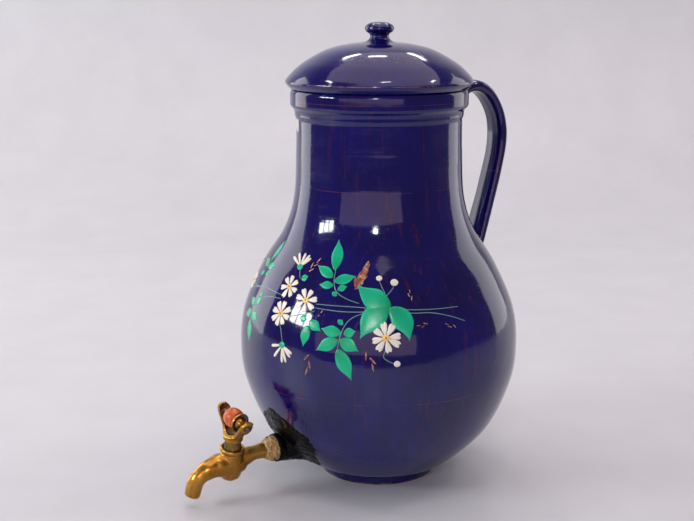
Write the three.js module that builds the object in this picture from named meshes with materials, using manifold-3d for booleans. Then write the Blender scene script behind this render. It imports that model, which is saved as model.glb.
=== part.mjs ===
// A large lidded water jug of glazed earthenware, with a strap handle at the back and a brass
// plug tap let into the foot of the belly at the front. Millimetres, +Z up. The origin is the
// centre of the flat underside, -Y is the tap's side and +Y the handle's side.
import * as THREE from "three";
import { mergeVertices } from "three/addons/utils/BufferGeometryUtils.js";
import Module from "manifold-3d";

const wasm = await Module();
wasm.setup();

// ---- driving dimensions -------------------------------------------------------------------
const GAP = 0.3; // clearance between pieces that touch
const RING_SIDES = 40; // facets round the jug and the lid
const TAP_SIDES = 24; // facets round the tap's small parts

const WALL = 7; // thickness of the thrown pot wall
const FOOT_R = 64.5;
const FOOT_H = 9;
const RIM_Z = 430; // level face that the lid sits on
const RIM_R = 96.4;
const MOUTH_R = 84.6; // bore of the mouth inside the rim band

const HANDLE_WIDTH = 30; // across the strap
const HANDLE_THICK = 14;

const LID_R = 101.6;
const LID_WALL = 7;
const LID_TOP_Z = 479;
const KNOB_TOP_Z = 500;

const TAP_Z = 47.7; // height of the tap's pipe axis
const TAP_REACH = 189; // jug axis to plug axis
const TAP_ROLL = THREE.MathUtils.degToRad(13); // the tap is set askew, leaning towards +X
const KEY_YAW = THREE.MathUtils.degToRad(7); // the key's crossbar stands this far off square
const PIPE_R = 8.2;
const WATERWAY_R = 4.4;
const TAIL_END = 88; // plug axis to the tail's inner end, inside the jug
const BARREL_TOP = 13.5; // top of the barrel's ring above the pipe axis
const SEAT_FOOT = -18; // lower end of the tapered seat
const SEAT_TOP_R = 9.6;
const SEAT_FOOT_R = 7.4;
const BAR_H = 48; // crossbar axis above the pipe axis

const BOSS_R = 13.4; // clay boss round the tap's hole
const BOSS_END = 133; // jug axis to the boss's face
const SOCKET_R = 11.4; // hole through the boss and the wall

// ---- materials ----------------------------------------------------------------------------
const finish = (color, roughness, metalness) =>
  new THREE.MeshStandardMaterial({ color, roughness, metalness });
const cobaltGlaze = finish(0x0a0a55, 0.12, 0);
const agedBrass = finish(0xb08435, 0.35, 1);
const coralPaint = finish(0xd8603a, 0.45, 0);
const blackPitch = finish(0x0e0b0a, 0.4, 0);
const hempTwine = finish(0xc9ab74, 0.9, 0);
const steel = finish(0x8a857c, 0.4, 1);

// ---- solids -------------------------------------------------------------------------------
const pair = ([r, z]) => new THREE.Vector2(r, z);

// Turns (radius, height) pairs about Z. The profile runs anticlockwise, with Z up and r to the right.
function turned(profile, sides) {
  return new THREE.LatheGeometry(profile.map(pair), sides).rotateX(Math.PI / 2);
}

// A closed geometry as a manifold-3d solid.
function solid(geometry) {
  const bare = geometry.clone();
  bare.deleteAttribute("normal");
  bare.deleteAttribute("uv");
  const merged = mergeVertices(bare, 1e-4);
  return new wasm.Manifold(
    new wasm.Mesh({
      numProp: 3,
      vertProperties: new Float32Array(merged.attributes.position.array),
      triVerts: new Uint32Array(merged.index.array),
    }),
  );
}

function geometryOf(made) {
  const { vertProperties, triVerts } = made.getMesh();
  return new THREE.BufferGeometry()
    .setAttribute("position", new THREE.BufferAttribute(vertProperties, 3))
    .setIndex(new THREE.BufferAttribute(triVerts, 1));
}

function piece(name, shape, material) {
  const geometry = shape.isBufferGeometry ? shape : geometryOf(shape);
  const mesh = new THREE.Mesh(geometry, material);
  mesh.name = name;
  return mesh;
}

// A spline through (radius, height) pairs, as pairs again.
function spline(pairs, steps) {
  const curve = new THREE.SplineCurve(pairs.map(pair));
  return curve.getPoints(steps).map((p) => [p.x, p.y]);
}

// Moves a profile sideways by d: a positive d goes outwards from one that runs upwards.
function offset(profile, d) {
  return profile.map(([r, z], i) => {
    const [r0, z0] = profile[Math.max(i - 1, 0)];
    const [r1, z1] = profile[Math.min(i + 1, profile.length - 1)];
    const length = Math.hypot(r1 - r0, z1 - z0);
    return [r + (d * (z1 - z0)) / length, z - (d * (r1 - r0)) / length];
  });
}

// A turned form bent along a curve in the plane x = 0. The profile's heights run from 0 to 1 along it.
function bent(profile, curve, sides, wide = 1, thick = 1) {
  const form = new THREE.LatheGeometry(profile.map(pair), sides);
  const across = new THREE.Vector3(1, 0, 0);
  const at = form.attributes.position;
  for (let i = 0; i < at.count; i++) {
    const share = THREE.MathUtils.clamp(at.getY(i), 0, 1);
    const up = curve.getTangentAt(share).cross(across);
    const place = curve
      .getPointAt(share)
      .addScaledVector(across, at.getX(i) * wide)
      .addScaledVector(up, -at.getZ(i) * thick);
    at.setXYZ(i, place.x, place.y, place.z);
  }
  return form;
}

const path = (pairs) =>
  new THREE.CatmullRomCurve3(pairs.map(([y, z]) => new THREE.Vector3(0, y, z)));

// A cylinder along Y between two places.
function rodY(radius, from, to, sides = TAP_SIDES) {
  return new THREE.CylinderGeometry(radius, radius, to - from, sides).translate(
    0,
    (from + to) / 2,
    0,
  );
}

const rodX = (radius, from, to, sides = TAP_SIDES) =>
  rodY(radius, from, to, sides).rotateZ(-Math.PI / 2);

// ---- the pot ------------------------------------------------------------------------------
const BELLY = [
  [66, FOOT_H],
  [90, 22],
  [127, 60],
  [149, 110],
  [154.2, 150],
  [149, 192],
  [127.8, 240],
  [104, 278],
  [93, 315],
  [90.4, 365],
  [90, 398],
];
const belly = spline(BELLY, 20);

const rimBand = [
  [91.8, 400.5],
  [91.8, 404],
  [91, 408],
  [95, 411.5],
  [RIM_R, 414],
  [RIM_R, 426],
  [94.4, RIM_Z],
];

const potOutline = [[0, 0], [FOOT_R, 0], [FOOT_R + 1, FOOT_H - 3], ...belly, ...rimBand, [0, RIM_Z]];

function potHollow() {
  const inside = offset(spline(BELLY, 14), -WALL).filter(([, z]) => z > FOOT_H + 3);
  const mouth = [[MOUTH_R, 405], [MOUTH_R, RIM_Z + 1], [0, RIM_Z + 1]];
  return solid(turned([[0, FOOT_H], [inside[0][0] - 6, FOOT_H], ...inside, ...mouth], RING_SIDES));
}

// The belly's own outer form, grown by d: the cutter that fits other pieces to its surface.
function potGrown(d) {
  const grown = offset(potOutline.slice(2, -1), d);
  return solid(turned([[0, -1], [FOOT_R + d, -1], ...grown, [0, RIM_Z + d]], RING_SIDES));
}

function placedAtTap(geometry) {
  return solid(geometry.translate(0, 0, TAP_Z));
}

function jugBody() {
  const boss = placedAtTap(rodY(BOSS_R, -BOSS_END, -105));
  const socket = placedAtTap(rodY(SOCKET_R, -BOSS_END - 1, -90));
  return solid(turned(potOutline, RING_SIDES)).add(boss).subtract(potHollow()).subtract(socket);
}

function strapHandle() {
  const line = path([
    [82, 415],
    [104, 421],
    [121, 427.5],
    [137, 425],
    [152, 412],
    [163.5, 390],
    [166, 364],
    [160, 332],
    [148.5, 292],
    [137, 256],
    [124, 222],
  ]);
  const strap = [[0, 0], [0.8, 0.002], [1, 0.01]];
  for (let i = 1; i <= 22; i++) strap.push([1 - 0.08 * (i / 22), 0.01 + 0.98 * (i / 22)]);
  strap.push([0.7, 0.998], [0, 1]);
  return solid(bent(strap, line, 16, HANDLE_WIDTH / 2, HANDLE_THICK / 2)).subtract(potGrown(GAP));
}

// ---- the lid ------------------------------------------------------------------------------
function lid() {
  const dome = spline(
    [[LID_R, 438], [95.5, 446], [82, 457.5], [57, 471], [30, 477.4], [0, LID_TOP_Z]],
    10,
  );
  const underside = spline([[0, LID_TOP_Z - LID_WALL], [50, 465], [77.5, 446]], 5);
  const flangeFoot = RIM_Z - 12;
  const seat = RIM_Z + GAP;
  return turned(
    [
      ...underside,
      [77.5, flangeFoot],
      [MOUTH_R - 1.4, flangeFoot],
      [MOUTH_R - 1.2, seat],
      [96.5, seat],
      [LID_R - 1.6, 434],
      ...dome,
    ],
    RING_SIDES,
  );
}

function lidKnob() {
  const foot = LID_TOP_Z + GAP;
  const waist = spline([[15.5, foot], [11, foot + 3], [9.4, 486], [10.8, 489.4], [15, 490.8]], 8);
  const cap = spline([[15.8, 492.4], [13, 496.7], [7.5, 499.2], [0, KNOB_TOP_Z]], 7);
  return turned([[0, foot], ...waist, ...cap], 24);
}

// ---- the seal round the tap ---------------------------------------------------------------
// Turns (radius, distance from the jug's axis) pairs about the pipe's axis.
function turnedOnPipe(outline) {
  return new THREE.LatheGeometry(outline.map(pair), TAP_SIDES)
    .rotateZ(Math.PI)
    .translate(0, 0, TAP_Z);
}

// A smear of black pitch over the belly with a collar of it drawn up round the clay boss.
function pitchSeal() {
  const SMEAR_WIDE = 44; // half widths of the smear, which is centred above and beside the hole
  const SMEAR_HIGH = 41;
  const smear = rodY(1, -170, -60, 28)
    .scale(SMEAR_WIDE, 1, SMEAR_HIGH)
    .translate(8, 0, 58);
  const collar = turnedOnPipe([[0, 100], [16.5, 100], [16, 124], [15.2, 137.5], [0, 137.5]]);
  return solid(smear)
    .intersect(potGrown(1.8))
    .add(solid(collar))
    .subtract(potGrown(GAP))
    .subtract(placedAtTap(rodY(BOSS_R + GAP, -BOSS_END - GAP, -60)))
    .subtract(placedAtTap(rodY(PACKING_R + 2 * GAP, -150, -60)));
}

// Twine wound into a plug on the tap's tail: a parallel stretch in the socket and a tapered end outside.
const PACKING_R = SOCKET_R + 1.5;
function hempPacking() {
  return turnedOnPipe([
    [PIPE_R + GAP, 112],
    [SOCKET_R - GAP, 112],
    [SOCKET_R - GAP, BOSS_END + GAP],
    [PACKING_R, BOSS_END + 2 * GAP],
    [PACKING_R + 0.4, 141],
    [PACKING_R - 0.6, 145],
    [PIPE_R + 2, 149.5],
    [PIPE_R + GAP, 150],
    [PIPE_R + GAP, 112],
  ]);
}

// ---- the tap ------------------------------------------------------------------------------
// Its pieces are drawn about the point where the plug's axis (Z) crosses the pipe's axis (Y).
const seatRadius = (h) =>
  SEAT_FOOT_R + ((SEAT_TOP_R - SEAT_FOOT_R) * (h - SEAT_FOOT)) / (BARREL_TOP - SEAT_FOOT);
const WASHER_POCKET_R = 7.4;
const BARREL_FOOT = -24.5;

function tapBody() {
  const barrel = turned(
    [
      [0, BARREL_FOOT],
      [8.4, BARREL_FOOT],
      [10.8, -22],
      [12.2, -16],
      [12.6, -6],
      [11.8, 4],
      [11.2, 9],
      [12.2, 10],
      [12.2, BARREL_TOP],
      [0, BARREL_TOP],
    ],
    TAP_SIDES,
  );
  const spoutLine = path([[-4, -3.5], [-14, -4], [-24, -7], [-34, -13], [-40, -21], [-42.5, -36]]);
  const spoutForm = [[0, 0], [11, 0.001], [11.4, 0.16], [10.4, 0.34], [8.4, 0.54], [7.4, 0.7]];
  const spout = bent([...spoutForm, [7.2, 0.86], [7.4, 0.999], [0, 1]], spoutLine, TAP_SIDES);
  const tailForm = [[0, 4], [7, 4], [7, 15], [PIPE_R, 32], [PIPE_R, TAIL_END], [0, TAIL_END]];
  const tail = new THREE.LatheGeometry(tailForm.map(pair), TAP_SIDES);
  const outletLine = path([[-4, 0], [-14, -3], [-24, -7], [-34, -13], [-40, -21], [-42.8, -38]]);
  const outlet = bent([[0, 0], [WATERWAY_R, 0.001], [WATERWAY_R, 0.999], [0, 1]], outletLine, 12);
  const seat = turned(
    [
      [0, BARREL_FOOT - 1],
      [WASHER_POCKET_R, BARREL_FOOT - 1],
      [WASHER_POCKET_R, SEAT_FOOT],
      [seatRadius(SEAT_FOOT), SEAT_FOOT],
      [seatRadius(BARREL_TOP + 1), BARREL_TOP + 1],
      [0, BARREL_TOP + 1],
    ],
    TAP_SIDES,
  );
  return solid(barrel)
    .add(solid(tail))
    .add(solid(spout))
    .subtract(solid(rodY(WATERWAY_R, 2, TAIL_END + 1, 12)))
    .subtract(solid(outlet))
    .subtract(solid(seat));
}

const PLUG_SHOULDER = BARREL_TOP + 10; // where the yoke rests on the plug
const TANG = 7; // square that the yoke fits over
function tapPlug() {
  const RUN = 0.3; // running clearance that the flat facets need
  const cone = turned(
    [
      [0, SEAT_FOOT + 0.4],
      [seatRadius(SEAT_FOOT) - RUN, SEAT_FOOT + 0.4],
      [seatRadius(BARREL_TOP) - RUN, BARREL_TOP],
      [9.1, BARREL_TOP + 1.5],
      [9.1, PLUG_SHOULDER],
      [0, PLUG_SHOULDER],
    ],
    TAP_SIDES,
  );
  const tang = new THREE.BoxGeometry(TANG, TANG, 6).translate(0, 0, PLUG_SHOULDER + 2);
  return solid(cone)
    .add(solid(tang))
    .subtract(solid(rodX(WATERWAY_R, -15, 15, 12)))
    .subtract(solid(screwShank(GAP)));
}

const SHANK_R = 2.1;
const shankTop = SEAT_FOOT + 13;
function screwShank(grow) {
  const length = shankTop - SEAT_FOOT + 4;
  return new THREE.CylinderGeometry(SHANK_R + grow, SHANK_R + grow, length + 2 * grow, 16)
    .rotateX(Math.PI / 2)
    .translate(0, 0, shankTop - length / 2);
}

function plugWasher() {
  const top = SEAT_FOOT - GAP;
  return turned(
    [
      [SHANK_R + GAP, top - 1.4],
      [WASHER_POCKET_R - 0.5, top - 1.4],
      [WASHER_POCKET_R - 0.5, top],
      [SHANK_R + GAP, top],
      [SHANK_R + GAP, top - 1.4],
    ],
    TAP_SIDES,
  );
}

function plugScrew() {
  const headTop = SEAT_FOOT - 1.4 - 2 * GAP;
  const head = turned([[0, headTop - 3], [3.6, headTop - 3], [4.3, headTop - 2], [4.3, headTop], [0, headTop]], 20);
  const slot = new THREE.BoxGeometry(12, 1.1, 1.4).translate(0, 0, headTop - 3);
  return solid(head).add(solid(screwShank(0))).subtract(solid(slot));
}

// The fork between the yoke's wings, as (radius, height) pairs from its bottom up.
const FORK = [[0, 27.5], [6, 29.5], [11.6, 36.5], [17.8, 46], [22.6, 54]];
const YOKE_FOOT = PLUG_SHOULDER + GAP;

// Two flared wings are left of a trumpet form when it is cut down to a wide slab.
function keyYoke() {
  const WING_WIDTH = 14;
  const outside = spline([[9.8, YOKE_FOOT], [10.4, 28], [14.6, 35.5], [20.9, 45.5], [26, 54.5]], 10);
  const trumpet = turned([[0, YOKE_FOOT], ...outside, ...spline(FORK, 8).reverse()], 24);
  const slab = new THREE.BoxGeometry(70, WING_WIDTH, 80).translate(0, 0, BAR_H);
  const cup = turned([[0, YOKE_FOOT - 1], [12.5, YOKE_FOOT - 1], [12.5, 28], [0, 34]], TAP_SIDES);
  const socket = new THREE.BoxGeometry(TANG + 2 * GAP, TANG + 2 * GAP, 20);
  return solid(trumpet)
    .intersect(solid(slab).add(solid(cup)))
    .subtract(solid(socket.translate(0, 0, YOKE_FOOT)))
    .subtract(solid(onBar(spindleOutline(GAP), 12)));
}

// Turns (radius, distance along the crossbar) pairs about the crossbar's axis.
function onBar(outline, sides) {
  return new THREE.LatheGeometry(outline.map(pair), sides)
    .rotateZ(-Math.PI / 2)
    .translate(0, 0, BAR_H);
}

const SPINDLE_R = 2;
function spindleOutline(grow) {
  const HEAD_R = 3.4;
  const half = [
    [SPINDLE_R + grow, 22.6 - grow],
    [HEAD_R + grow, 22.6 - grow],
    [HEAD_R + grow, 24.2 + 12 * grow],
    [0, 25.2 + 12 * grow],
  ];
  return [...half.map(([r, x]) => [r, -x]).reverse(), ...half];
}

function crossSpindle() {
  return onBar(spindleOutline(0), 16);
}

const BAR_BORE = SPINDLE_R + GAP;
function gripBead() {
  const crown = spline([[4.8, -13.4], [9, -11], [11.1, -4.5], [10.9, 2], [8.4, 6.6]], 10);
  return onBar([[BAR_BORE, -13.4], ...crown, [7, 8], [BAR_BORE, 8], [BAR_BORE, -13.4]], 24);
}

function beadWasher() {
  return onBar([[BAR_BORE, 8.4], [10.4, 8.4], [10.4, 9.6], [BAR_BORE, 9.6], [BAR_BORE, 8.4]], 24);
}

// The hollow-waisted ferrule that fills the bar between the bead's washer and a wing.
function spoolFerrule() {
  const waist = spline([[8.8, 9.9], [6, 12], [4.9, 15], [5.6, 19], [7.4, 22]], 8);
  const spool = onBar([[BAR_BORE, 9.9], ...waist, [BAR_BORE, 22], [BAR_BORE, 9.9]], 24);
  const room = offset(spline(FORK, 8), -GAP).slice(1);
  return solid(spool).intersect(solid(turned([[0, FORK[0][1] + GAP], ...room, [0, 60]], 24)));
}

// ---- assembly -----------------------------------------------------------------------------
const jug = new THREE.Group();
jug.add(
  piece("jug_body", jugBody(), cobaltGlaze),
  piece("strap_handle", strapHandle(), cobaltGlaze),
  piece("lid", lid(), cobaltGlaze),
  piece("lid_knob", lidKnob(), cobaltGlaze),
  piece("pitch_seal", pitchSeal(), blackPitch),
  piece("hemp_packing", hempPacking(), hempTwine),
);

const tap = new THREE.Group();
tap.position.set(0, -TAP_REACH, TAP_Z);
tap.rotation.y = TAP_ROLL;
tap.add(piece("tap_body", tapBody(), agedBrass));

const key = new THREE.Group();
key.rotation.z = KEY_YAW;
key.add(
  piece("tap_plug", tapPlug(), agedBrass),
  piece("plug_washer", plugWasher(), agedBrass),
  piece("plug_screw", plugScrew(), steel),
  piece("key_yoke", keyYoke(), agedBrass),
  piece("cross_spindle", crossSpindle(), agedBrass),
  piece("grip_bead", gripBead(), coralPaint),
  piece("bead_washer", beadWasher(), agedBrass),
  piece("spool_ferrule", spoolFerrule(), agedBrass),
);
tap.add(key);
jug.add(tap);

export default jug;
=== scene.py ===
import math
import random

import bmesh
import bpy
from mathutils import Matrix, Vector, noise


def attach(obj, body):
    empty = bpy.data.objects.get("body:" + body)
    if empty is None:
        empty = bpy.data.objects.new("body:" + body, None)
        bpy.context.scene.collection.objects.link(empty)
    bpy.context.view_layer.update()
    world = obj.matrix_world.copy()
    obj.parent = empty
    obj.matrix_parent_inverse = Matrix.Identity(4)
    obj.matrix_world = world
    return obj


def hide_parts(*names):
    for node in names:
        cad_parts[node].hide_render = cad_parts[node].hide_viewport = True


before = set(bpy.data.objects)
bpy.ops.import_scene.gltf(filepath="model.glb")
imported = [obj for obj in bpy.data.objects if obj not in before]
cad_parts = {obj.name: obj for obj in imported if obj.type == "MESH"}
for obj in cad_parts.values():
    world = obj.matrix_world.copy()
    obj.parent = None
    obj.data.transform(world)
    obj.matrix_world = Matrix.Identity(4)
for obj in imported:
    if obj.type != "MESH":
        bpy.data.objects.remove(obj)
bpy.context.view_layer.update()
rng = random.Random(7)

# Lengths below are in millimetres, angles in degrees. A place on the pot is (angle, height): the
# angle is 0 at the tap and grows towards +X.
MM = 0.001
FOOT_R = 64.5
FOOT_H = 9
RIM_Z = 430
TAP_Z = 47.7
TAP_REACH = 189
TAP_ROLL = 13
KEY_YAW = 7
BAR_H = 48
BAR_R = 2
EYE_R = 2.3  # the hole in each piece that sits on the crossbar
PIPE_R = 8.2
OUTLET_R = 5.2
MOUTH_R = 84.6
FLANGE_FOOT = 418
TOP_Z = 500
STRAP_HALF_W = 15
STRAP_HALF_T = 7
LABEL_PLACE = (-20, 392.5)  # the middle of the paper scrap
CAMERA_PLACE = (1.079, -0.742, 0.527)  # metres
CAMERA_DIP = 12.39
CAMERA_ROLL = 0.1
CAMERA_TURN = 57

IN_MM = Matrix.Scale(MM, 4)
TAP = Matrix.Translation((0, -TAP_REACH, TAP_Z)) @ Matrix.Rotation(math.radians(TAP_ROLL), 4, "Y")
KEY = TAP @ Matrix.Rotation(math.radians(KEY_YAW), 4, "Z")
BAR = KEY @ Matrix.Translation((0, 0, BAR_H)) @ Matrix.Rotation(math.radians(90), 4, "Y")
PIPE = Matrix.Translation((0, 0, TAP_Z)) @ Matrix.Rotation(math.radians(90), 4, "X")


# ---- shapes ----------------------------------------------------------------------------------
# A shape is a pair of lists: vertices and faces.

def through(points, steps, closed=False):
    """Points of a smooth curve through the given ones, with that many steps between each two."""
    known = [Vector(p) for p in points]
    last = len(known) - 1
    line = []
    for i in range(len(known) if closed else last):
        if closed:
            a, b, c, d = (known[(i + k) % len(known)] for k in (-1, 0, 1, 2))
        else:
            a, b, c, d = (known[min(max(i + k, 0), last)] for k in (-1, 0, 1, 2))
        for k in range(steps):
            t = k / steps
            bend = (2 * a - 5 * b + 4 * c - d) * t * t + (3 * b - a - 3 * c + d) * t ** 3
            line.append(0.5 * (2 * b + (c - a) * t + bend))
    if not closed:
        line.append(known[-1])
    return line


def softened(outline, radius):
    """The outline with each of its inner corners rounded."""
    steps = 4
    points = [Vector(p) for p in outline]
    line = [points[0]]
    for before, corner, after in zip(points, points[1:], points[2:]):
        back = before - corner
        ahead = after - corner
        reach = min(radius, back.length * 0.45, ahead.length * 0.45)
        start = corner + back.normalized() * reach
        end = corner + ahead.normalized() * reach
        for k in range(steps + 1):
            t = k / steps
            line.append(start * (1 - t) ** 2 + corner * 2 * t * (1 - t) + end * t * t)
    line.append(points[-1])
    return line


def turned(outline, sides=96):
    """(radius, height) points turned about Z. A point on the axis becomes a pole."""
    verts, faces, rings = [], [], []
    for r, z in outline:
        count = 1 if r < 1e-6 else sides
        rings.append(range(len(verts), len(verts) + count))
        for k in range(count):
            turn = 2 * math.pi * k / sides
            verts.append((r * math.cos(turn), r * math.sin(turn), z))
    for low, high in zip(rings, rings[1:]):
        for k in range(sides):
            below = (low[k % len(low)], low[(k + 1) % len(low)])
            above = (high[(k + 1) % len(high)], high[k % len(high)])
            corners = list(dict.fromkeys(below + above))
            if len(corners) > 2:
                faces.append(corners)
    return verts, faces


def loops(rings, closed=False):
    """Skin over rings of points of equal count. Its ends are capped, or joined if it is closed."""
    count = len(rings[0])
    verts = [v for ring in rings for v in ring]
    faces = []
    total = len(rings)
    for i in range(total if closed else total - 1):
        here = i * count
        there = (i + 1) % total * count
        for k in range(count):
            ahead = (k + 1) % count
            faces.append((here + k, here + ahead, there + ahead, there + k))
    if not closed:
        faces.append(tuple(reversed(range(count))))
        faces.append(tuple(range((total - 1) * count, total * count)))
    return verts, faces


def swept(line, section):
    """A section carried along a line in the plane x = 0. section(share) gives (across, up) points."""
    rings = []
    across = Vector((1, 0, 0))
    for i, point in enumerate(line):
        tangent = (line[min(i + 1, len(line) - 1)] - line[max(i - 1, 0)]).normalized()
        up = tangent.cross(across)
        rings.append([point + across * u + up * v for u, v in section(i / (len(line) - 1))])
    return loops(rings)


def joined(*shapes):
    """One shape with all the vertices and faces of the given ones."""
    verts, faces = [], []
    for more_verts, more_faces in shapes:
        base = len(verts)
        verts.extend(more_verts)
        faces.extend([tuple(base + k for k in face) for face in more_faces])
    return verts, faces


def build(name, shape, place=Matrix.Identity(4)):
    """A smooth-shaded object with its vertices in the row frame."""
    verts, faces = shape
    mesh = bpy.data.meshes.new(name)
    mesh.from_pydata([tuple(v) for v in verts], [], faces)
    mesh.transform(IN_MM @ place)
    work = bmesh.new()
    work.from_mesh(mesh)
    bmesh.ops.remove_doubles(work, verts=work.verts, dist=1e-7)
    bmesh.ops.recalc_face_normals(work, faces=work.faces)
    work.to_mesh(mesh)
    work.free()
    mesh.shade_smooth()
    obj = bpy.data.objects.new(name, mesh)
    bpy.context.scene.collection.objects.link(obj)
    return obj


def settle(obj):
    """Applies the object's modifiers."""
    graph = bpy.context.evaluated_depsgraph_get()
    mesh = bpy.data.meshes.new_from_object(obj.evaluated_get(graph))
    obj.modifiers.clear()
    obj.data = mesh
    mesh.shade_smooth()
    return obj


def cast(obj, voxel, passes):
    """Melts the object's overlapping bodies into one skin, with the soft edges of a casting."""
    melt = obj.modifiers.new("melt", "REMESH")
    melt.mode = "VOXEL"
    melt.voxel_size = voxel * MM
    ease = obj.modifiers.new("ease", "SMOOTH")
    ease.factor = 0.5
    ease.iterations = passes
    return settle(obj)


def lumpy(obj, amount, size, seed=0):
    """Pushes the surface in and out by smooth noise: the amount and the size of a lump in mm."""
    shift = Vector((seed, seed, seed))
    spots = [(vertex.co.copy(), vertex.normal.copy()) for vertex in obj.data.vertices]
    moved = []
    for spot, normal in spots:
        moved.extend(spot + normal * (noise.noise(spot / (size * MM) + shift) * amount * MM))
    obj.data.vertices.foreach_set("co", moved)
    obj.data.update()
    return obj


def finished(obj, body, slot, *materials, instead=()):
    """Gives a piece its materials and its body, and hides the CAD nodes it stands in for.
    Its slot is not used.
    """
    for material in materials:
        obj.data.materials.append(material)
    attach(obj, body)
    if instead:
        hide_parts(*instead)
    return obj


# ---- materials -------------------------------------------------------------------------------

class Surface:
    """A node material on the row frame's own coordinates, in metres."""

    def __init__(self, name):
        self.material = bpy.data.materials.new(name)
        self.material.use_nodes = True
        self.tree = self.material.node_tree
        self.shader = self.tree.nodes["Principled BSDF"]
        self.place = self.node("ShaderNodeTexCoord").outputs["Object"]
        self.height = self.node("ShaderNodeSeparateXYZ", Vector=self.place).outputs["Z"]

    def node(self, kind, settings=None, **inputs):
        made = self.tree.nodes.new(kind)
        for key, value in (settings or {}).items():
            setattr(made, key, value)
        for key, value in inputs.items():
            self.feed(made.inputs[key.replace("_", " ")], value)
        return made

    def feed(self, socket, value):
        if isinstance(value, bpy.types.NodeSocket):
            self.tree.links.new(value, socket)
        else:
            socket.default_value = value

    def stretched(self, scale):
        return self.node("ShaderNodeMapping", Vector=self.place, Scale=scale).outputs["Vector"]

    def noise(self, scale, detail=3.0, roughness=0.5, vector=None):
        made = self.node(
            "ShaderNodeTexNoise",
            Vector=vector or self.place, Scale=scale, Detail=detail, Roughness=roughness,
        )
        return made.outputs["Fac"]

    def ramp(self, factor, *stops):
        """Grey or coloured stops as (place, value) pairs."""
        made = self.node("ShaderNodeValToRGB", Fac=factor)
        steps = made.color_ramp.elements
        while len(steps) < len(stops):
            steps.new(0.5)
        for step, (at, value) in zip(steps, stops):
            step.position = at
            step.color = (*value, 1) if isinstance(value, tuple) else (value, value, value, 1)
        return made.outputs["Color"]

    def mix(self, factor, a, b):
        made = self.node("ShaderNodeMix", {"data_type": "RGBA"})
        self.feed(made.inputs["Factor"], factor)
        self.feed(made.inputs[6], (*a, 1) if isinstance(a, tuple) else a)
        self.feed(made.inputs[7], (*b, 1) if isinstance(b, tuple) else b)
        return made.outputs[2]

    def math(self, operation, a, b=0.0):
        made = self.node("ShaderNodeMath", {"operation": operation})
        self.feed(made.inputs[0], a)
        self.feed(made.inputs[1], b)
        return made.outputs[0]

    def near(self, centre, half):
        """1 at a height in mm, falling to 0 at half a width away from it."""
        away = self.math("ABSOLUTE", self.math("SUBTRACT", self.height, centre * MM))
        return self.node(
            "ShaderNodeMapRange", {"interpolation_type": "SMOOTHSTEP"},
            Value=away, From_Min=half * MM, From_Max=half * MM * 0.5, To_Min=0.0, To_Max=1.0,
        ).outputs[0]

    def bump(self, height, strength, distance, normal=None):
        made = self.node("ShaderNodeBump", Height=height, Strength=strength, Distance=distance * MM)
        if normal:
            self.feed(made.inputs["Normal"], normal)
        return made.outputs["Normal"]

    def finish(self, **inputs):
        for key, value in inputs.items():
            name = key.replace("_", " ")
            colour = isinstance(value, tuple)
            self.feed(self.shader.inputs[name], (*value, 1) if colour else value)
        return self.material


COBALT_DEEP = (0.0015, 0.0010, 0.055)
COBALT = (0.0030, 0.0020, 0.095)
COBALT_BRIGHT = (0.0080, 0.0060, 0.170)
THIN_GLAZE = (0.075, 0.012, 0.030)
WORN_CLAY = (0.30, 0.13, 0.11)
GILT = (0.26, 0.07, 0.035)


def cobalt_glaze(name, gilt_lines=(), worn_edges=(), brightness=0.0):
    """Deep glossy cobalt, streaked down the wall, with worn gilt lines and edges worn to the clay."""
    s = Surface(name)
    clouds = s.noise(14, 4)
    streaks = s.noise(1, 5, 0.6, s.stretched((75, 75, 5)))
    depth = s.math("ADD", s.math("MULTIPLY", clouds, 0.6), s.math("MULTIPLY", streaks, 0.4))
    depth = s.math("ADD", depth, brightness)
    colour = s.ramp(depth, (0.34, COBALT_DEEP), (0.52, COBALT), (0.78, COBALT_BRIGHT))
    thin = s.ramp(s.noise(1, 6, 0.7, s.stretched((120, 120, 9))), (0.56, 0.0), (0.72, 0.6))
    colour = s.mix(thin, colour, THIN_GLAZE)
    specks = s.ramp(s.noise(900, 2), (0.70, 0.0), (0.74, 0.6))
    colour = s.mix(specks, colour, (0.05, 0.045, 0.10))
    wear = s.noise(60, 6, 0.7)
    metal = None
    for line in gilt_lines:
        kept = s.ramp(s.noise(1, 4, 0.7, s.stretched((28, 28, 300))), (0.44, 0.0), (0.66, 0.8))
        mask = s.math("MULTIPLY", s.near(line, 0.5), kept)
        colour = s.mix(mask, colour, GILT)
        metal = mask if metal is None else s.math("MAXIMUM", metal, mask)
    for edge, width in worn_edges:
        lost = s.math("MULTIPLY", s.near(edge, width), s.ramp(wear, (0.44, 0.0), (0.62, 0.9)))
        colour = s.mix(lost, colour, WORN_CLAY)
    ripple = s.noise(26, 2)
    rings = s.noise(1, 2, 0.5, s.stretched((5, 5, 130)))
    pits = s.ramp(s.noise(650, 1), (0.26, 0.0), (0.33, 1.0))
    normal = s.bump(ripple, 0.22, 1.6)
    normal = s.bump(rings, 0.16, 0.7, normal)
    normal = s.bump(pits, 0.25, 0.12, normal)
    smudges = s.ramp(s.noise(32, 5, 0.6), (0.35, 0.055), (0.75, 0.13))
    s.finish(Base_Color=colour, Roughness=smudges, Normal=normal, IOR=1.56)
    if metal is not None:
        s.finish(Metallic=s.math("MULTIPLY", metal, 0.7))
    return s.material


def raw_clay():
    """Unglazed red earthenware, with spilt glaze."""
    s = Surface("raw_clay")
    grain = s.noise(420, 5, 0.7)
    colour = s.ramp(grain, (0.3, (0.30, 0.10, 0.05)), (0.7, (0.52, 0.22, 0.12)))
    spill = s.ramp(s.noise(30, 4), (0.58, 0.0), (0.62, 1.0))
    colour = s.mix(spill, colour, COBALT)
    return s.finish(Base_Color=colour, Roughness=0.85, Normal=s.bump(grain, 0.5, 0.3))


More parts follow.
